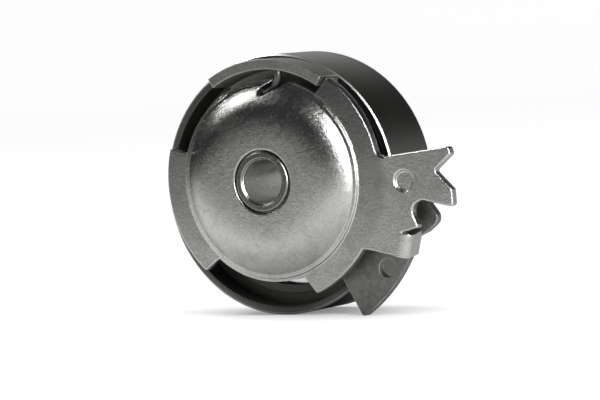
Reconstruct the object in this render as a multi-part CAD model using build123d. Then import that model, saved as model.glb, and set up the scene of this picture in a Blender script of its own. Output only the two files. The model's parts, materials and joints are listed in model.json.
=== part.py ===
from build123d import *
import math
import os

# Automatic belt tensioner idler. Millimetres, +Z up.
# The bolt axis is the Y axis and the origin is on it, at the engine-side face of the base flange.
# The engine side is -Y and the bolt-head side is +Y. Angles are measured in the XZ plane,
# from +X towards +Z.

# Mounting sleeve
BORE_R = 5.0
SLEEVE_R = 6.8
SLEEVE_BACK = -4.4
SLEEVE_FRONT = 30.2
SLEEVE_CHAMFER = 0.5
SLEEVE_EDGE = 0.25
RING_SEAT_DEPTH = 0.6

# Base plate, a domed steel stamping with a part flange and a forked arm
SHEET = 2.1
DOME_TOP = -4.3
DOME_OUTSIDE = [
    (11.0, -4.27), (13.0, -4.18), (15.0, -3.97), (17.0, -3.51), (19.0, -2.58), (21.5, -0.70),
]
DOME_INSIDE = [
    (20.55, 0.81), (18.1, -0.9), (16.4, -1.64), (14.67, -2.0), (12.86, -2.19), (10.98, -2.27),
]
DOME_INNER_TOP = -2.3
DOME_INNER_FOOT_R = 21.95
FOOT_STEP_IN = (22.3, -0.55)
FOOT_STEP_OUT = (22.6, 0.0)
SLEEVE_GROOVE_R = 7.2
SLEEVE_GROOVE_DEPTH = 1.2
SLEEVE_GROOVE_EDGE = 0.35
RIM_CUT_R = 23.1
FLANGE_R = 27.8
FLANGE_EDGE = 0.25
FLANGE_LAP = 0.05
RECESS_AT = (33.95, -0.95)
RECESS_R = 2.15
RECESS_DEPTH = 0.75
RECESS_LEAD_IN = 0.4
RECESS_BOSS_R = 2.05
SLOT_END = (-0.4, 20.3)
SLOT_WIDTH = 2.3
SLOT_RISE = (5.1, 2.5)

# Bent guide tab on the base arm
TAB_ROOT_TOP = (32.5, -12.65)
TAB_ROOT_LOW = (31.15, -17.9)
TAB_BEND_R = 2.6
TAB_END_Y = 5.5
TAB_RISE = 0.8

# Swinging arm plate
ARM_Y0 = 5.85
ARM_Y1 = ARM_Y0 + SHEET
ARM_DISC_R = 20.5
ARM_PIN_HOLE = (25.55, -20.9)
ARM_PIN_R = 2.15
STOP_WALL_IN = 25.25
STOP_WALL_OUT = 27.7
STOP_WALL_Y = -1.7
STOP_WALL_START = 56.6
STOP_WALL_END = 121.0
STOP_WALL_EDGE = 0.35

# Pulley and the eccentric hub that carries it
PULLEY_X = -3.1
PULLEY_Z = -1.48
PULLEY_R = 30.0
PULLEY_Y0 = 8.6
PULLEY_Y1 = 27.3
RIM_IN_R = 28.2
WEB_Y0 = 14.2
WEB_Y1 = 17.2
SEAT_OUT_R = 25.4
SEAT_Y0 = 13.4
SEAT_Y1 = 26.7
LIP_R = 22.2
HUB_R = 15.0
HUB_SHOULDER_R = 16.6
SPIGOT_R = 12.0
HUB_Y1 = 27.1

# Plain bush, a running fit on the sleeve
BUSH_IN_R = 6.86
BUSH_OUT_R = 8.2

# Deep-groove ball bearing, 30 x 47 x 9
BEARING_IN_R = 15.0
BEARING_OUT_R = 23.5
BEARING_Y0 = 16.0
BEARING_W = 9.0
INNER_LAND_R = 17.6
OUTER_LAND_R = 21.2
PITCH_R = 19.25
BALL_R = 2.38
BALL_COUNT = 14
RACE_GAP = 0.05
RACE_R = 2.5
CAGE_IN_R = 18.35
CAGE_OUT_R = 20.15
CAGE_HALF_W = 2.9
POCKET_R = 2.46
SEAL_T = 0.6
SEAL_INSET = 0.25
SEAL_IN_R = 17.95

# Torsion spring
WIRE_R = 0.95
COIL_R = 17.8
COIL_PITCH = 2.0
COIL_Y0 = 1.7
COIL_START = 128.0
COIL_SWEEP = 500.0
COIL_STEP = 20.0

# Washers and rings
WASHER_Y0 = 4.6
WASHER_Y1 = 5.7
WASHER_R = 13.5
GUIDE_Y0 = -1.9
GUIDE_FLANGE_Y = 3.2
GUIDE_R = 9.0
THRUST_Y0 = 27.25
THRUST_Y1 = 28.25
RING_T = 1.1
RING_PLAY = 0.05
HUB_GROOVE_DEPTH = 0.9
SEAT_GROOVE_DEPTH = 0.8
HUB_EDGE = 0.4
RIM_EDGE = 0.35
RIM_DRAFT = 0.4


def slab(sketch, y0, y1):
    """A flat sketch drawn in X and Z, given thickness from y0 to y1."""
    return extrude(Plane.XZ.offset(-y1) * sketch, y1 - y0)


def disc(radius, y0, y1, x=0.0, z=0.0):
    return slab(Pos(x, z) * Circle(radius), y0, y1)


def ring(r_in, r_out, y0, y1, x=0.0, z=0.0):
    return disc(r_out, y0, y1, x, z) - disc(r_in, y0 - 1, y1 + 1, x, z)


def polygon(points):
    return make_face(Polyline(*points, close=True))


def turned(points):
    """A profile of (radius, y) points, turned about the Y axis."""
    return revolve(polygon(points), axis=Axis.Y)


def near(shapes, points, reach=0.6):
    """The vertices or edges whose centre is close to one of the points in the sketch."""
    found = ShapeList()
    for shape in shapes:
        centre = shape.center()
        for point in points:
            if math.hypot(centre.X - point[0], centre.Y - point[1]) < reach:
                found.append(shape)
    return found


def base_outline():
    """Flat outline of the base flange and forked arm, in X and Z."""
    arm = polygon([
        (20.0, 3.55), (45.6, 6.35), (46.1, 4.6), (41.8, 1.0), (45.95, -3.2), (46.05, -7.1),
        (40.6, -5.95), (38.2, -5.35), (36.4, -6.2), (35.65, -7.6), (36.0, -9.0),
        (36.9, -10.9), (36.75, -11.5), (33.5, -12.35), TAB_ROOT_TOP, TAB_ROOT_LOW,
        (25.6, -16.6), (20.0, -15.6),
    ])
    outline = Circle(FLANGE_R) + arm
    top_gap = polygon([
        (11.0, 17.93), (16.4, 23.4), (24.0, 34.0), (-40.0, 40.0), (-45.0, 14.1), (-18.0, 5.63),
    ])
    low_gap = polygon([
        (-12.0, -15.36), (-19.4, -20.7), (-24.0, -40.0), (20.0, -40.0), (10.7, -26.7), (5.0, -19.46),
    ])
    core = Circle(RIM_CUT_R)
    outline = outline - (top_gap - core) - (low_gap - core)
    soft = [(45.6, 6.35), (46.1, 4.6), (41.8, 1.0), (45.95, -3.2), (46.05, -7.1)]
    outline = fillet(near(outline.vertices(), soft, 0.4), 0.7)
    flange_ends = [(-18.9, -20.4), (10.3, -25.9), (16.3, 23.2), (-26.7, 8.1)]
    outline = fillet(near(outline.vertices(), flange_ends, 1.2), 0.7)
    outline = fillet(near(outline.vertices(), [(27.5, 4.4)], 1.2), 2.0)
    outline = fillet(near(outline.vertices(), [(22.0, -16.0)], 1.2), 0.9)
    hook = [(38.2, -5.35), (36.4, -6.2), (35.65, -7.6)]
    outline = fillet(near(outline.vertices(), hook, 0.3), 1.8)
    return fillet(near(outline.vertices(), [(36.9, -10.9)], 0.3), 0.4)


def base_plate():
    flange = slab(base_outline() - Circle(21.0), 0.0, SHEET)
    front = flange.faces().sort_by(Axis.Y)[0]
    rim = [e for e in front.edges() if math.hypot(e.center().X, e.center().Z) > RIM_CUT_R + 0.1]
    flange = chamfer(rim, FLANGE_EDGE)
    flange = flange - disc(RIM_CUT_R - FLANGE_LAP, -1.0, 4.0)

    # Dome profile, a smooth crown that meets the flange at a small step
    groove_y = DOME_TOP + SLEEVE_GROOVE_DEPTH
    outside = Spline((SLEEVE_GROOVE_R, DOME_TOP), *DOME_OUTSIDE)
    foot = Polyline(
        DOME_OUTSIDE[-1], FOOT_STEP_IN, FOOT_STEP_OUT, (RIM_CUT_R, 0.0), (RIM_CUT_R, SHEET),
        (DOME_INNER_FOOT_R, SHEET), DOME_INSIDE[0],
    )
    inside = Spline(*DOME_INSIDE, (SLEEVE_R, DOME_INNER_TOP))
    neck = Polyline(
        (SLEEVE_R, DOME_INNER_TOP), (SLEEVE_R, groove_y), (SLEEVE_GROOVE_R, groove_y),
        (SLEEVE_GROOVE_R, DOME_TOP),
    )
    profile = make_face([outside, foot, inside, neck])
    groove_edge = near(profile.vertices(), [(SLEEVE_GROOVE_R, DOME_TOP)], 0.2)
    profile = fillet(groove_edge, SLEEVE_GROOVE_EDGE)
    plate = revolve(profile, axis=Axis.Y) + flange + bent_tab()

    # Spring slot, a slanted slit open at the edge of the dome
    slot_dir = math.degrees(math.atan2(SLOT_RISE[1], SLOT_RISE[0]))
    slit = Circle(SLOT_WIDTH / 2) + Pos(5.0, 0) * Rectangle(10.0, SLOT_WIDTH)
    plate = plate - slab(Pos(*SLOT_END) * Rot(0, 0, slot_dir) * slit, -6.0, 4.0)

    # Half-sheared round recess, with the pushed-out boss behind it
    recess = turned([
        (0, -1.0), (RECESS_R + RECESS_LEAD_IN + 1.0, -1.0), (RECESS_R, RECESS_LEAD_IN),
        (RECESS_R, RECESS_DEPTH), (0, RECESS_DEPTH),
    ])
    boss = disc(RECESS_BOSS_R, SHEET - 0.2, SHEET + RECESS_DEPTH, *RECESS_AT)
    return plate - Pos(RECESS_AT[0], 0, RECESS_AT[1]) * recess + boss


def bent_tab():
    """A strip that leaves the arm at its root line and bends away through 90 degrees."""
    along_x = TAB_ROOT_TOP[0] - TAB_ROOT_LOW[0]
    along_z = TAB_ROOT_TOP[1] - TAB_ROOT_LOW[1]
    width = math.hypot(along_x, along_z)
    lean = math.degrees(math.atan2(along_z, along_x))
    inner = TAB_BEND_R - SHEET
    side = polygon([
        (-0.3, 0.0), (TAB_BEND_R, 0.0), (TAB_BEND_R, TAB_END_Y),
        (inner, TAB_END_Y), (inner, SHEET), (-0.3, SHEET),
    ])
    side = fillet(near(side.vertices(), [(TAB_BEND_R, 0.0)], 0.1), TAB_BEND_R - 0.1)
    side = fillet(near(side.vertices(), [(inner, SHEET)], 0.1), inner - 0.1)
    lean_cut = Plane.YZ * polygon([
        (-1.0, 0.0), (1.0, 0.0), (TAB_END_Y, TAB_RISE), (TAB_END_Y, width + TAB_RISE),
        (1.0, width), (-1.0, width),
    ])
    strip = extrude(side, width + TAB_RISE) & extrude(lean_cut, 5.0, both=True)
    return Pos(TAB_ROOT_LOW[0], 0, TAB_ROOT_LOW[1]) * Rot(0, 90 - lean, 0) * strip


def mounting_sleeve():
    groove_y0 = THRUST_Y1
    sleeve = turned([
        (BORE_R, SLEEVE_BACK + SLEEVE_CHAMFER), (BORE_R + SLEEVE_CHAMFER, SLEEVE_BACK),
        (SLEEVE_R - SLEEVE_EDGE, SLEEVE_BACK), (SLEEVE_R, SLEEVE_BACK + SLEEVE_EDGE),
        (SLEEVE_R, SLEEVE_FRONT - SLEEVE_EDGE), (SLEEVE_R - SLEEVE_EDGE, SLEEVE_FRONT),
        (BORE_R + SLEEVE_CHAMFER, SLEEVE_FRONT), (BORE_R, SLEEVE_FRONT - SLEEVE_CHAMFER),
    ])
    return sleeve - ring(SLEEVE_R - RING_SEAT_DEPTH, SLEEVE_R + 2.0, groove_y0, groove_y0 + RING_T)


def spring_path():
    """Coil points from the back end forward, then the leg out through the slot."""
    points = []
    steps = int(COIL_SWEEP / COIL_STEP)
    for i in range(steps, -1, -1):
        angle = math.radians(COIL_START + i * COIL_STEP)
        y = COIL_Y0 + COIL_PITCH * i * COIL_STEP / 360.0
        points.append((COIL_R * math.cos(angle), y, COIL_R * math.sin(angle)))
    points += [(-4.6, 1.75, 18.3), (-1.5, 1.75, 19.85), (0.7, 1.15, 20.9)]
    points += [(2.55, 0.1, 21.8), (3.5, -0.5, 23.1), (3.65, -0.7, 24.6)]
    return Spline(*points)


def torsion_spring():
    path = spring_path()
    return sweep(Plane(origin=path @ 0, z_dir=path % 0) * Circle(WIRE_R), path=path)


def arm_outline():
    """Flat outline of the swinging plate, without the rotation stop wall."""
    fan_sheet = Pos(-0.56, -0.9) * Circle(36.5)
    fan_cut = polygon([
        (0.0, 0.0), (13.85, -23.1), (20.0, -34.25), (34.0, -34.0),
        (38.5, -12.2), (36.1, -12.45), (30.0, -5.0),
    ])
    pointer = polygon([
        (10.0, 6.0), (25.0, 3.6), (34.0, 2.6), (35.4, -4.4), (39.6, -10.1), (36.1, -12.9),
        (32.0, -14.6), (10.0, -12.0),
    ])
    pointer = fillet(near(pointer.vertices(), [(39.6, -10.1)]), 2.0)
    pointer = fillet(near(pointer.vertices(), [(34.0, 2.6), (35.4, -4.4)]), 1.5)
    outline = Circle(ARM_DISC_R) + (fan_sheet & fan_cut) + pointer
    tip = near(outline.vertices(), [(18.8, -31.9)], 1.0)
    return fillet(tip, 0.8)


def arm_plate():
    flat = slab(arm_outline(), ARM_Y0, ARM_Y1)
    web_r = ARM_DISC_R - 2.0
    profile = polygon([
        (web_r, ARM_Y0), (STOP_WALL_IN, ARM_Y0), (STOP_WALL_IN, STOP_WALL_Y),
        (STOP_WALL_OUT, STOP_WALL_Y), (STOP_WALL_OUT, ARM_Y1), (web_r, ARM_Y1),
    ])
    profile = fillet(near(profile.vertices(), [(STOP_WALL_OUT, ARM_Y1)]), 2.5)
    profile = fillet(near(profile.vertices(), [(STOP_WALL_IN, ARM_Y0)]), 0.5)
    ends = near(profile.vertices(), [(STOP_WALL_IN, STOP_WALL_Y), (STOP_WALL_OUT, STOP_WALL_Y)])
    profile = fillet(ends, STOP_WALL_EDGE)
    span = STOP_WALL_END - STOP_WALL_START
    wall = Rot(0, -STOP_WALL_END, 0) * revolve(profile, axis=Axis.Y, revolution_arc=span)
    plate = flat + wall - disc(SPIGOT_R, ARM_Y0 - 1, ARM_Y1 + 1, PULLEY_X, PULLEY_Z)
    return plate - disc(ARM_PIN_R, ARM_Y0 - 1, ARM_Y1 + 1, *ARM_PIN_HOLE)


def eccentric_hub():
    snap_y = BEARING_Y0 + BEARING_W + RING_PLAY
    groove_r = HUB_R - HUB_GROOVE_DEPTH
    hub = turned([
        (0, ARM_Y0), (SPIGOT_R, ARM_Y0), (SPIGOT_R, ARM_Y1), (HUB_SHOULDER_R, ARM_Y1),
        (HUB_SHOULDER_R, BEARING_Y0), (HUB_R, BEARING_Y0), (HUB_R, snap_y),
        (groove_r, snap_y), (groove_r, snap_y + RING_T), (HUB_R, snap_y + RING_T),
        (HUB_R, HUB_Y1 - HUB_EDGE), (HUB_R - HUB_EDGE, HUB_Y1), (0, HUB_Y1),
    ])
    return Pos(PULLEY_X, 0, PULLEY_Z) * hub - disc(BUSH_OUT_R, ARM_Y0 - 1, HUB_Y1 + 1)


def pulley_shell():
    groove_y0 = BEARING_Y0 - RING_T - RING_PLAY
    groove_r = BEARING_OUT_R + SEAT_GROOVE_DEPTH
    bearing_y1 = BEARING_Y0 + BEARING_W
    root_r = RIM_IN_R - RIM_DRAFT
    shell = turned([
        (RIM_IN_R, PULLEY_Y0), (PULLEY_R - RIM_EDGE, PULLEY_Y0), (PULLEY_R, PULLEY_Y0 + RIM_EDGE),
        (PULLEY_R, PULLEY_Y1 - RIM_EDGE), (PULLEY_R - RIM_EDGE, PULLEY_Y1), (RIM_IN_R, PULLEY_Y1),
        (root_r, WEB_Y1), (SEAT_OUT_R, WEB_Y1), (SEAT_OUT_R, SEAT_Y1), (LIP_R, SEAT_Y1),
        (LIP_R, bearing_y1), (BEARING_OUT_R, bearing_y1), (BEARING_OUT_R, BEARING_Y0),
        (groove_r, BEARING_Y0), (groove_r, groove_y0), (BEARING_OUT_R, groove_y0),
        (BEARING_OUT_R, SEAT_Y0), (SEAT_OUT_R, SEAT_Y0), (SEAT_OUT_R, WEB_Y0), (root_r, WEB_Y0),
    ])
    return Pos(PULLEY_X, 0, PULLEY_Z) * shell


def race_groove(centre_r):
    mid = BEARING_Y0 + BEARING_W / 2
    return Pos(0, mid, 0) * Rot(90, 0, 0) * Torus(centre_r, RACE_R)


def bearing_inner_ring():
    body = ring(BEARING_IN_R, INNER_LAND_R, BEARING_Y0, BEARING_Y0 + BEARING_W)
    body = body - race_groove(PITCH_R - BALL_R - RACE_GAP + RACE_R)
    return Pos(PULLEY_X, 0, PULLEY_Z) * body


def bearing_outer_ring():
    body = ring(OUTER_LAND_R, BEARING_OUT_R, BEARING_Y0, BEARING_Y0 + BEARING_W)
    body = body - race_groove(PITCH_R + BALL_R + RACE_GAP - RACE_R)
    return Pos(PULLEY_X, 0, PULLEY_Z) * body


def ball_centre(index):
    angle = 2 * math.pi * index / BALL_COUNT
    x = PULLEY_X + PITCH_R * math.cos(angle)
    z = PULLEY_Z + PITCH_R * math.sin(angle)
    return Pos(x, BEARING_Y0 + BEARING_W / 2, z)


def bearing_cage():
    mid = BEARING_Y0 + BEARING_W / 2
    cage = ring(CAGE_IN_R, CAGE_OUT_R, mid - CAGE_HALF_W, mid + CAGE_HALF_W, PULLEY_X, PULLEY_Z)
    for i in range(BALL_COUNT):
        radial = 90.0 - 360.0 * i / BALL_COUNT
        cage = cage - ball_centre(i) * Rot(0, radial, 0) * Cylinder(POCKET_R, 6.0)
    return cage


def seal(y0):
    return ring(SEAL_IN_R, OUTER_LAND_R, y0, y0 + SEAL_T, PULLEY_X, PULLEY_Z)


def snap_ring(r_in, r_out, y0, gap_angle, gap_width, x=0.0, z=0.0):
    """An open ring with a gap cut at one angle."""
    body = Pos(x, z) * (Circle(r_out) - Circle(r_in))
    mid = (r_in + r_out) / 2
    opening = Pos(x, z) * Rot(0, 0, gap_angle) * Pos(mid, 0) * Rectangle(4 * (r_out - r_in), gap_width)
    return slab(body - opening, y0, y0 + RING_T)


def spring_guide():
    return turned([
        (SLEEVE_R, GUIDE_Y0), (GUIDE_R, GUIDE_Y0), (GUIDE_R, GUIDE_FLANGE_Y),
        (WASHER_R, GUIDE_FLANGE_Y), (WASHER_R, WASHER_Y0), (SLEEVE_R, WASHER_Y0),
    ])


parts = {
    "base_plate": base_plate(),
    "mounting_sleeve": mounting_sleeve(),
    "torsion_spring": torsion_spring(),
    "spring_guide": spring_guide(),
    "friction_washer": ring(SLEEVE_R, WASHER_R, WASHER_Y0, WASHER_Y1),
    "thrust_washer": ring(SLEEVE_R, WASHER_R, THRUST_Y0, THRUST_Y1),
    "retaining_ring": snap_ring(SLEEVE_R - RING_SEAT_DEPTH, SLEEVE_R + 2.0, THRUST_Y1, 90.0, 4.0),
    "arm_plate": arm_plate(),
    "eccentric_hub": eccentric_hub(),
    "plain_bush": ring(BUSH_IN_R, BUSH_OUT_R, ARM_Y0 + 0.1, HUB_Y1 - 0.1),
    "bearing_inner_ring": bearing_inner_ring(),
    "hub_snap_ring": snap_ring(
        HUB_R - HUB_GROOVE_DEPTH, HUB_R + 1.6, BEARING_Y0 + BEARING_W + RING_PLAY, 90.0, 6.0,
        PULLEY_X, PULLEY_Z,
    ),
    "pulley_shell": pulley_shell(),
    "bearing_outer_ring": bearing_outer_ring(),
    "front_seal": seal(BEARING_Y0 + BEARING_W - SEAL_INSET - SEAL_T),
    "rear_seal": seal(BEARING_Y0 + SEAL_INSET),
    "bore_snap_ring": snap_ring(
        BEARING_OUT_R - 1.4, BEARING_OUT_R + 0.75, BEARING_Y0 - RING_T, -90.0, 7.0, PULLEY_X, PULLEY_Z
    ),
    "bearing_cage": bearing_cage(),
}
for number in range(BALL_COUNT):
    parts[f"ball_{number + 1:02d}"] = ball_centre(number) * Sphere(BALL_R)

os.makedirs("parts", exist_ok=True)
for name, shape in parts.items():
    export_step(shape, f"parts/{name}.step")
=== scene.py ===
import json
import math

import bpy
from mathutils import Matrix, Vector


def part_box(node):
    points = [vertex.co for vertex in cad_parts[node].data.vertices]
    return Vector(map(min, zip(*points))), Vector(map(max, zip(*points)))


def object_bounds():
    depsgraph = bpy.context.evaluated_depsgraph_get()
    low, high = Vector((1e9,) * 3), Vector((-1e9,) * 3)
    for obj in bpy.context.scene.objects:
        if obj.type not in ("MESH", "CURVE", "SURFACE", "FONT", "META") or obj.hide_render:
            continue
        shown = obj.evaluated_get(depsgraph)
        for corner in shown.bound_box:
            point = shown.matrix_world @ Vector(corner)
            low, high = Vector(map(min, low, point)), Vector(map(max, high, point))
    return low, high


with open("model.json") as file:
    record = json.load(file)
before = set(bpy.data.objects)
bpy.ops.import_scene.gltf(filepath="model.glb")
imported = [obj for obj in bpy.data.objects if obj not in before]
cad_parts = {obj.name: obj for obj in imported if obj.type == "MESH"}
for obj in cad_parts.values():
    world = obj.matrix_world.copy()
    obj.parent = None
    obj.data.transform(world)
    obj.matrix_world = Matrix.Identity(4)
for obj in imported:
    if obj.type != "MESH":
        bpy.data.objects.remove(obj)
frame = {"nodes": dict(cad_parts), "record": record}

bpy.context.scene.view_settings.view_transform = "Standard"
CAD_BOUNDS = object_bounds()

# Places read from the frame, in metres
FLOOR_Z = CAD_BOUNDS[0][2]
pulley_low, pulley_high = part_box("pulley_shell")
PULLEY_FRONT = pulley_low.y
PULLEY_AXIS = ((pulley_low.x + pulley_high.x) / 2, (pulley_low.z + pulley_high.z) / 2)
SLEEVE_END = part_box("mounting_sleeve")[0].y

# Camera, with angles in degrees and the rest in metres or millimetres of lens
CAMERA_AZIMUTH = 30.13
CAMERA_ELEVATION = 3.03
CAMERA_ROLL = -3.36
CAMERA_DISTANCE = 0.7949
CAMERA_RIGHT = 0.0065
CAMERA_DOWN = 0.00442
LENS = 210.0

# Brightness of the white sweep and the room
SWEEP_GLOW = 0.95
SWEEP_SEEN = 0.93
ROOM_DIM = 0.03
ROOM_BRIGHT = 1.0

# Sweep, in metres: half width, front edge, wall, bend radius and height above the floor
SWEEP_REACH = 4.0
WALL_Y = 2.2
WALL_BEND = 0.35
WALL_TOP = 0.60
BEND_STEPS = 12

# Softboxes: direction, width, height, radiance and roll in degrees
SOFTBOX_DISTANCE = 0.9
SOFTBOXES = {
    "top_left": ((-0.66, 0.0, 0.75), 0.62, 0.18, 14.0, -35.0),
    "side_right": ((0.80, -0.52, 0.36), 0.14, 0.80, 34.0, 24.0),
}

# Places on the part that a material picks out, in metres
BORE_R = 0.00502
SEAT_RING_DEPTH = 0.0022
FLANGE_INNER_R = 0.0226
FLANGE_OUTER_R = 0.0280
PULLEY_INSIDE_R = 0.0284
BEVEL_R = 0.02950
BEVEL_DEPTH = 0.00036


# Camera, a long lens from the right of the domed side

def make_camera():
    azimuth = math.radians(CAMERA_AZIMUTH)
    elevation = math.radians(CAMERA_ELEVATION)
    roll = math.radians(CAMERA_ROLL)
    back = Vector((
        math.sin(azimuth) * math.cos(elevation), -math.cos(azimuth) * math.cos(elevation), math.sin(elevation)
    ))
    level = Vector((math.cos(azimuth), math.sin(azimuth), 0.0))
    rise = back.cross(level)
    right = math.cos(roll) * level + math.sin(roll) * rise
    up = -math.sin(roll) * level + math.cos(roll) * rise
    place = CAMERA_DISTANCE * back + CAMERA_RIGHT * right - CAMERA_DOWN * up
    data = bpy.data.cameras.new("camera")
    data.lens = LENS
    data.sensor_width = 36.0
    data.clip_start = 0.01
    data.clip_end = 50.0
    cam = bpy.data.objects.new("camera", data)
    cam.matrix_world = Matrix((
        (right.x, up.x, back.x, place.x), (right.y, up.y, back.y, place.y),
        (right.z, up.z, back.z, place.z), (0, 0, 0, 1),
    ))
    bpy.context.scene.collection.objects.link(cam)
    bpy.context.scene.camera = cam


# Node helpers

class Nodes:
    """A small builder for one material's node tree."""

    def __init__(self, name):
        self.mat = bpy.data.materials.new(name)
        self.mat.use_nodes = True
        self.tree = self.mat.node_tree
        self.shader = self.tree.nodes["Principled BSDF"]
        self.coords = self.tree.nodes.new("ShaderNodeTexCoord").outputs["Object"]

    def set(self, **values):
        for key, value in values.items():
            self.shader.inputs[key.replace("_", " ")].default_value = value
        return self

    def link(self, a, b):
        self.tree.links.new(a, b)
        return b

    def scaled(self, scale):
        node = self.tree.nodes.new("ShaderNodeMapping")
        node.inputs["Scale"].default_value = scale
        self.link(self.coords, node.inputs["Vector"])
        return node.outputs["Vector"]

    def noise(self, scale, detail=4.0, rough=0.55, stretch=None, distortion=0.0):
        node = self.tree.nodes.new("ShaderNodeTexNoise")
        node.inputs["Scale"].default_value = scale
        node.inputs["Detail"].default_value = detail
        node.inputs["Roughness"].default_value = rough
        node.inputs["Distortion"].default_value = distortion
        self.link(self.scaled(stretch) if stretch else self.coords, node.inputs["Vector"])
        return node.outputs["Fac"]

    def cells(self, scale):
        node = self.tree.nodes.new("ShaderNodeTexVoronoi")
        node.inputs["Scale"].default_value = scale
        self.link(self.coords, node.inputs["Vector"])
        return node.outputs["Distance"]

    def ramp(self, fac, stops):
        node = self.tree.nodes.new("ShaderNodeValToRGB")
        ramp = node.color_ramp
        while len(ramp.elements) < len(stops):
            ramp.elements.new(0.5)
        for element, (at, value) in zip(ramp.elements, stops):
            element.position = at
            element.color = (*value, 1.0) if isinstance(value, tuple) else (value, value, value, 1.0)
        self.link(fac, node.inputs["Fac"])
        return node.outputs["Color"]

    def span(self, fac, low, high, start=0.3, end=0.7):
        node = self.tree.nodes.new("ShaderNodeMapRange")
        node.inputs["From Min"].default_value = start
        node.inputs["From Max"].default_value = end
        node.inputs["To Min"].default_value = low
        node.inputs["To Max"].default_value = high
        self.link(fac, node.inputs["Value"])
        return node.outputs["Result"]

    def math(self, op, a, b=0.5):
        node = self.tree.nodes.new("ShaderNodeMath")
        node.operation = op
        for socket, value in zip(node.inputs, (a, b)):
            if isinstance(value, (int, float)):
                socket.default_value = value
            else:
                self.link(value, socket)
        return node.outputs["Value"]

    def mix(self, fac, a, b, blend="MIX"):
        node = self.tree.nodes.new("ShaderNodeMix")
        node.data_type = "RGBA"
        node.blend_type = blend
        for socket, value in ((node.inputs[0], fac), (node.inputs[6], a), (node.inputs[7], b)):
            if isinstance(value, (int, float)):
                socket.default_value = value
            elif isinstance(value, tuple):
                socket.default_value = (*value, 1.0)
            else:
                self.link(value, socket)
        return node.outputs[2]

    def bump(self, height, strength, distance, below=None):
        node = self.tree.nodes.new("ShaderNodeBump")
        node.inputs["Strength"].default_value = strength
        node.inputs["Distance"].default_value = distance
        self.link(height, node.inputs["Height"])
        if below is not None:
            self.link(below, node.inputs["Normal"])
        return node.outputs["Normal"]

    def edges(self, width, low=0.006, high=0.09):
        """1 on convex and concave edges, from how far a rounded normal turns from the plain one."""
        bevel = self.tree.nodes.new("ShaderNodeBevel")
        bevel.samples = 6
        bevel.inputs["Radius"].default_value = width
        plain = self.tree.nodes.new("ShaderNodeNewGeometry").outputs["Normal"]
        dot = self.tree.nodes.new("ShaderNodeVectorMath")
        dot.operation = "DOT_PRODUCT"
        self.link(bevel.outputs["Normal"], dot.inputs[0])
        self.link(plain, dot.inputs[1])
        return self.span(dot.outputs["Value"], 1.0, 0.0, 1.0 - high, 1.0 - low)

    def occlusion(self, distance):
        """1 in the open and less where something stands within the distance."""
        node = self.tree.nodes.new("ShaderNodeAmbientOcclusion")
        node.samples = 6
        node.inputs["Distance"].default_value = distance
        return node.outputs["AO"]

    def rounded(self, width):
        bevel = self.tree.nodes.new("ShaderNodeBevel")
        bevel.samples = 6
        bevel.inputs["Radius"].default_value = width
        return bevel.outputs["Normal"]

    def radius(self, x=0.0, z=0.0):
        """Distance from an axis parallel to Y, in metres."""
        split = self.tree.nodes.new("ShaderNodeSeparateXYZ")
        self.link(self.coords, split.inputs["Vector"])
        dx = self.math("SUBTRACT", split.outputs["X"], x)
        dz = self.math("SUBTRACT", split.outputs["Z"], z)
        squares = self.math("ADD", self.math("MULTIPLY", dx, dx), self.math("MULTIPLY", dz, dz))
        return self.math("SQRT", squares)

    def axis(self, name):
        split = self.tree.nodes.new("ShaderNodeSeparateXYZ")
        self.link(self.coords, split.inputs["Vector"])
        return split.outputs[name]

    def wave(self, value, period, jitter):
        """A sine of the value with the period given in metres."""
        arg = self.math("MULTIPLY", value, 2 * math.pi / period)
        arg = self.math("ADD", arg, self.math("MULTIPLY", jitter, 6.0))
        return self.math("SINE", arg, 0.0)

    def out(self, color, roughness, normal):
        self.link(color, self.shader.inputs["Base Color"])
        self.link(roughness, self.shader.inputs["Roughness"])
        self.link(normal, self.shader.inputs["Normal"])
        return self.mat


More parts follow.
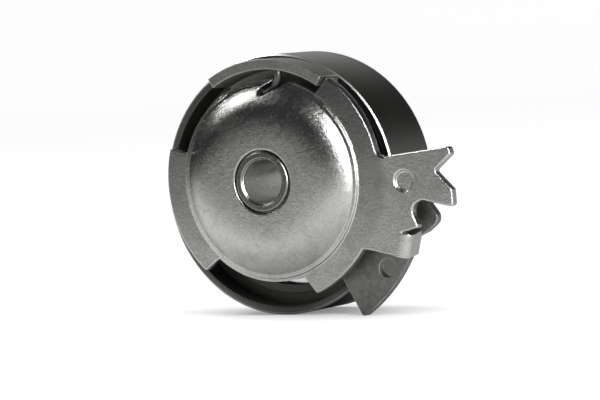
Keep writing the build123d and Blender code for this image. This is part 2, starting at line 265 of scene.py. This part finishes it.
def zinc_sheet():
    n = Nodes("zinc_sheet")
    n.set(Metallic=1.0)
    broad = n.noise(55.0, 3.0, 0.5)
    mottle = n.noise(1300.0, 6.0, 0.72)
    grit = n.noise(3600.0, 3.0, 0.7)
    pits = n.ramp(n.cells(260.0), [(0.0, 0.0), (0.07, 1.0)])
    blotch = n.ramp(n.noise(190.0, 5.0, 0.7, None, 0.6), [(0.52, 0.0), (0.62, 1.0)])
    scratch = n.ramp(n.noise(2600.0, 2.0, 0.5, (0.05, 1.0, 0.6), 0.2), [(0.70, 0.0), (0.74, 1.0)])
    tone = n.mix(n.span(broad, 0.0, 1.0), (0.31, 0.31, 0.295), (0.40, 0.40, 0.385))
    tone = n.mix(n.span(mottle, 0.0, 0.75, 0.38, 0.62), tone, (0.44, 0.44, 0.425))
    tone = n.mix(n.math("MULTIPLY", blotch, 0.28), tone, (0.17, 0.17, 0.165))
    tone = n.mix(n.span(grit, 0.0, 0.3, 0.45, 0.65), tone, (0.60, 0.60, 0.58))
    tone = n.mix(n.math("MULTIPLY", n.math("SUBTRACT", 1.0, pits), 0.6), tone, (0.08, 0.08, 0.08))
    r = n.radius()
    past_dome = n.span(r, 0.0, 1.0, FLANGE_INNER_R, FLANGE_INNER_R + 0.0006)
    before_arm = n.span(r, 1.0, 0.0, FLANGE_OUTER_R, FLANGE_OUTER_R + 0.0020)
    flange = n.math("MULTIPLY", past_dome, before_arm)
    # Painted shade: the flange ring is darkened more towards the top, standing in for the dark room it
    # reflects there.
    painted_top_shade = n.math("MULTIPLY", flange, n.span(n.axis("Z"), 0.0, 0.75, -0.016, 0.020))
    tone = n.mix(painted_top_shade, tone, (0.08, 0.08, 0.078))
    # Lightened edges: partly real rubbed wear, partly painted highlight along the rounded edges.
    wear_and_edge_highlight = n.edges(0.00045)
    tone = n.mix(n.math("MULTIPLY", wear_and_edge_highlight, 0.8), tone, (0.80, 0.80, 0.78))
    rough = n.math("ADD", n.span(mottle, 0.19, 0.29, 0.3, 0.7), n.span(blotch, 0.0, 0.06, 0.0, 1.0))
    rough = n.math("SUBTRACT", rough, n.math("MULTIPLY", wear_and_edge_highlight, 0.10))
    soft = n.rounded(0.0004)
    height = n.math("ADD", n.math("MULTIPLY", mottle, 0.6), n.math("MULTIPLY", grit, 0.5))
    grain = n.bump(height, 0.6, 0.00013, soft)
    scored = n.bump(n.math("SUBTRACT", pits, n.math("MULTIPLY", scratch, 0.5)), 0.35, 0.00005, grain)
    return n.out(tone, rough, n.bump(n.noise(110.0, 2.0, 0.4), 0.2, 0.0004, scored))


def dark_sheet():
    n = Nodes("dark_sheet")
    n.set(Metallic=1.0)
    broad = n.noise(90.0, 3.0, 0.5)
    fine = n.noise(1100.0, 6.0, 0.75)
    tone = n.mix(n.span(broad, 0.0, 1.0), (0.16, 0.16, 0.15), (0.24, 0.24, 0.23))
    tone = n.mix(n.span(fine, 0.0, 0.6, 0.42, 0.65), tone, (0.34, 0.34, 0.32))
    broken = n.ramp(n.noise(420.0, 3.0, 0.6), [(0.42, 0.25), (0.55, 1.0)])
    # Broken bright edge lines: partly real wear, partly painted highlight.
    wear_and_edge_highlight = n.math("MULTIPLY", n.edges(0.00045), broken)
    tone = n.mix(n.math("MULTIPLY", wear_and_edge_highlight, 0.75), tone, (0.66, 0.66, 0.64))
    rough = n.span(fine, 0.42, 0.60)
    return n.out(tone, rough, n.bump(fine, 0.6, 0.00009, n.rounded(0.0003)))


def turned_steel():
    n = Nodes("turned_steel")
    n.set(Metallic=1.0)
    fine = n.noise(1400.0, 4.0, 0.6)
    rings = n.wave(n.radius(), 0.00028, fine)
    feed = n.wave(n.axis("Y"), 0.0003, fine)
    bore = n.span(n.radius(), 1.0, 0.0, BORE_R, BORE_R + 0.0001)
    tone = n.mix(n.span(fine, 0.0, 1.0), (0.12, 0.12, 0.115), (0.19, 0.19, 0.18))
    tone = n.mix(bore, tone, (0.62, 0.62, 0.60))
    depth = n.math("ABSOLUTE", n.math("SUBTRACT", n.axis("Y"), SLEEVE_END + SEAT_RING_DEPTH), 0.0)
    seat = n.math("MULTIPLY", bore, n.span(depth, 1.0, 0.0, 0.00010, 0.00022))
    tone = n.mix(n.math("MULTIPLY", seat, 0.8), tone, (0.80, 0.80, 0.78))
    # Lightened edges: partly real wear, partly painted highlight.
    wear_and_edge_highlight = n.edges(0.0003)
    tone = n.mix(n.math("MULTIPLY", wear_and_edge_highlight, 0.7), tone, (0.75, 0.75, 0.73))
    rough = n.span(fine, 0.24, 0.36)
    height = n.math("ADD", rings, feed)
    return n.out(tone, rough, n.bump(height, 0.12, 0.00002, n.rounded(0.0002)))


def pulley_steel():
    n = Nodes("pulley_steel")
    n.set(Metallic=1.0)
    x, z = PULLEY_AXIS
    r = n.radius(x, z)
    fine = n.noise(1500.0, 5.0, 0.65)
    broad = n.noise(60.0, 3.0, 0.5)
    drawn = n.noise(40.0, 4.0, 0.6, (0.4, 60.0, 0.4))
    tone = n.mix(n.span(broad, 0.0, 1.0), (0.105, 0.105, 0.095), (0.140, 0.140, 0.128))
    tone = n.mix(n.span(fine, 0.0, 0.3, 0.4, 0.7), tone, (0.22, 0.22, 0.205))
    inside = n.span(r, 1.0, 0.0, PULLEY_INSIDE_R, PULLEY_INSIDE_R + 0.0006)
    tone = n.mix(inside, tone, (0.110, 0.110, 0.101))
    # Painted highlight: the front chamfer ring is lightened to show a bright edge line.
    front = n.span(n.axis("Y"), 1.0, 0.0, PULLEY_FRONT + BEVEL_DEPTH, PULLEY_FRONT + BEVEL_DEPTH + 0.00008)
    bevel = n.math("MULTIPLY", front, n.span(r, 0.0, 1.0, BEVEL_R, BEVEL_R + 0.00012))
    tone = n.mix(n.math("MULTIPLY", bevel, 0.9), tone, (0.70, 0.70, 0.68))
    # Lightened edges, weaker inside the rim: partly real wear, partly painted highlight.
    wear_and_edge_highlight = n.math("MULTIPLY", n.edges(0.0003), n.math("SUBTRACT", 0.8, n.math("MULTIPLY", inside, 0.7)))
    tone = n.mix(wear_and_edge_highlight, tone, (0.62, 0.62, 0.60))
    # Painted shade: darkened where other parts stand within 12 mm, in the recesses and behind the arm.
    painted_occlusion_shade = n.span(n.occlusion(0.012), 0.6, 0.0, 0.20, 0.60)
    tone = n.mix(painted_occlusion_shade, tone, (0.02, 0.02, 0.02))
    rough = n.math("ADD", n.span(fine, 0.30, 0.40), n.span(drawn, -0.03, 0.05))
    rough = n.math("ADD", rough, n.math("MULTIPLY", inside, 0.15))
    height = n.math("ADD", fine, n.math("MULTIPLY", drawn, 0.6))
    return n.out(tone, rough, n.bump(height, 0.18, 0.00004, n.rounded(0.00025)))


def plain_metal(name, low, high, rough_low, rough_high, bump):
    n = Nodes(name)
    n.set(Metallic=1.0)
    fine = n.noise(1200.0, 5.0, 0.65)
    broad = n.noise(80.0, 3.0, 0.5)
    tone = n.mix(n.span(broad, 0.0, 1.0), low, high)
    tone = n.mix(n.span(fine, 0.0, 0.3, 0.4, 0.7), tone, tuple(min(1.0, c * 1.3) for c in high))
    return n.out(tone, n.span(fine, rough_low, rough_high), n.bump(fine, bump, 0.00004))


def moulded(name, low, high, rough_low, rough_high):
    n = Nodes(name)
    fine = n.noise(1800.0, 5.0, 0.7)
    broad = n.noise(120.0, 3.0, 0.5)
    tone = n.mix(n.span(broad, 0.0, 1.0), low, high)
    return n.out(tone, n.span(fine, rough_low, rough_high), n.bump(fine, 0.3, 0.00006))


# Plain metals: dark tone, light tone, roughness from and to, bump strength
METALS = {
    "spring_steel": ((0.06, 0.06, 0.058), (0.11, 0.11, 0.105), 0.30, 0.42, 0.15),
    "washer_steel": ((0.45, 0.45, 0.44), (0.58, 0.58, 0.56), 0.25, 0.38, 0.15),
    "hub_alloy": ((0.50, 0.50, 0.50), (0.62, 0.62, 0.62), 0.30, 0.45, 0.15),
    "bush_bronze": ((0.42, 0.30, 0.14), (0.55, 0.42, 0.22), 0.30, 0.45, 0.15),
    "bearing_steel": ((0.48, 0.48, 0.48), (0.62, 0.62, 0.62), 0.12, 0.2, 0.05),
    "cage_steel": ((0.38, 0.38, 0.36), (0.50, 0.50, 0.48), 0.3, 0.42, 0.15),
    "ball_steel": ((0.60, 0.60, 0.60), (0.72, 0.72, 0.72), 0.05, 0.1, 0.02),
}

# Moulded parts: dark tone, light tone, roughness from and to
MOULDED = {
    "damper_plastic": ((0.02, 0.02, 0.02), (0.05, 0.05, 0.05), 0.45, 0.6),
    "friction_plastic": ((0.32, 0.27, 0.18), (0.45, 0.39, 0.28), 0.5, 0.65),
    "seal_rubber": ((0.012, 0.012, 0.012), (0.03, 0.03, 0.03), 0.55, 0.7),
}


def dress_frame():
    made = {
        "zinc_sheet": zinc_sheet(),
        "dark_sheet": dark_sheet(),
        "turned_steel": turned_steel(),
        "pulley_steel": pulley_steel(),
    }
    for name, values in METALS.items():
        made[name] = plain_metal(name, *values)
    for name, values in MOULDED.items():
        made[name] = moulded(name, *values)
    slot_of = {part["node"]: part["material_slot"] for part in frame["record"]["subparts"]}
    for node, obj in frame["nodes"].items():
        material = made[slot_of[node]]
        for slot in obj.material_slots:
            slot.material = material
        if not obj.material_slots:
            obj.data.materials.append(material)


# Studio

def area_light(name, direction, width, height, radiance, roll):
    """A softbox facing the object, sized in metres and hidden from the camera."""
    data = bpy.data.lights.new(name, "AREA")
    data.shape = "RECTANGLE"
    data.size = width
    data.size_y = height
    data.energy = radiance * math.pi * width * height
    obj = bpy.data.objects.new(name, data)
    obj.location = Vector(direction).normalized() * SOFTBOX_DISTANCE
    facing = (-Vector(direction)).to_track_quat("-Z", "Y")
    obj.rotation_euler = (facing.to_matrix() @ Matrix.Rotation(math.radians(roll), 3, "Z")).to_euler()
    obj.visible_camera = False
    bpy.context.scene.collection.objects.link(obj)


def sweep_material():
    """Glows white to the camera, with a painted contact shadow near the object; in reflections its glow dims
    away from the object and darkens near it as painted shade.
    """
    n = Nodes("sweep_white")
    n.set(Base_Color=(0.30, 0.30, 0.30, 1.0), Roughness=0.9, Emission_Color=(1.0, 1.0, 1.0, 1.0))
    n.shader.inputs["Specular IOR Level"].default_value = 0.0
    direct = n.tree.nodes.new("ShaderNodeLightPath").outputs["Is Camera Ray"]
    across = n.math("ADD", n.math("MULTIPLY", n.axis("X"), 0.4), n.axis("Y"))
    glow = n.span(across, 0.02, SWEEP_GLOW, -0.74, -0.10)
    glow = n.math("MULTIPLY", glow, n.span(n.axis("Y"), 1.0, 0.5, 0.0, 0.04))
    seen = n.math("MULTIPLY", direct, SWEEP_SEEN)
    hidden = n.math("MULTIPLY", n.math("SUBTRACT", 1.0, direct), glow)
    # Painted contact shadow in the glow the camera sees, and painted shade in the glow that reflections see
    # near the object.
    near_shade = n.occlusion(0.020)
    wide_shade = n.occlusion(0.060)
    seen = n.math("MULTIPLY", seen, n.span(near_shade, 0.25, 1.0, 0.0, 1.0))
    hidden = n.math("MULTIPLY", hidden, n.math("MULTIPLY", wide_shade, wide_shade))
    n.link(n.math("ADD", seen, hidden), n.shader.inputs["Emission Strength"])
    return n.mat


def sweep():
    """A white floor that curves up into a low wall behind the object."""
    bend_y = WALL_Y - WALL_BEND
    profile = [(-SWEEP_REACH, FLOOR_Z), (0.0, FLOOR_Z), (bend_y, FLOOR_Z)]
    for i in range(1, BEND_STEPS + 1):
        a = math.radians(90.0 * i / BEND_STEPS)
        profile.append((bend_y + WALL_BEND * math.sin(a), FLOOR_Z + WALL_BEND - WALL_BEND * math.cos(a)))
    profile.append((WALL_Y, FLOOR_Z + WALL_TOP))
    verts = [(x, y, z) for x in (-SWEEP_REACH, SWEEP_REACH) for y, z in profile]
    count = len(profile)
    faces = [(i, i + count, i + count + 1, i + 1) for i in range(count - 1)]
    mesh = bpy.data.meshes.new("sweep")
    mesh.from_pydata(verts, [], faces)
    obj = bpy.data.objects.new("sweep", mesh)
    bpy.context.scene.collection.objects.link(obj)
    mesh.materials.append(sweep_material())


def world_light():
    """A dim room in front and above, white low down behind."""
    world = bpy.data.worlds.new("studio")
    bpy.context.scene.world = world
    world.use_nodes = True
    tree = world.node_tree
    background = tree.nodes["Background"]
    background.inputs["Color"].default_value = (1.0, 1.0, 1.0, 1.0)
    split = tree.nodes.new("ShaderNodeSeparateXYZ")
    tree.links.new(tree.nodes.new("ShaderNodeTexCoord").outputs["Generated"], split.inputs["Vector"])
    direct = tree.nodes.new("ShaderNodeLightPath").outputs["Is Camera Ray"]

    def span(source, start, end, low, high):
        node = tree.nodes.new("ShaderNodeMapRange")
        for key, value in zip(("From Min", "From Max", "To Min", "To Max"), (start, end, low, high)):
            node.inputs[key].default_value = value
        tree.links.new(source, node.inputs["Value"])
        return node.outputs["Result"]

    def combine(operation, a, b):
        node = tree.nodes.new("ShaderNodeMath")
        node.operation = operation
        tree.links.new(a, node.inputs[0])
        tree.links.new(b, node.inputs[1])
        return node.outputs["Value"]

    behind = span(split.outputs["Y"], 0.45, 0.80, 0.0, 1.0)
    leftward = span(split.outputs["X"], -0.22, 0.02, 1.0, 0.0)
    low_down = span(split.outputs["Z"], 0.25, 0.52, 1.0, 0.10)
    patch = combine("MULTIPLY", combine("MULTIPLY", behind, low_down), leftward)
    room = span(patch, 0.0, 1.0, ROOM_DIM, ROOM_BRIGHT)
    tree.links.new(combine("MAXIMUM", room, direct), background.inputs["Strength"])


def studio():
    sweep()
    world_light()
    for name, values in SOFTBOXES.items():
        area_light(name, *values)



make_camera()
dress_frame()
studio()
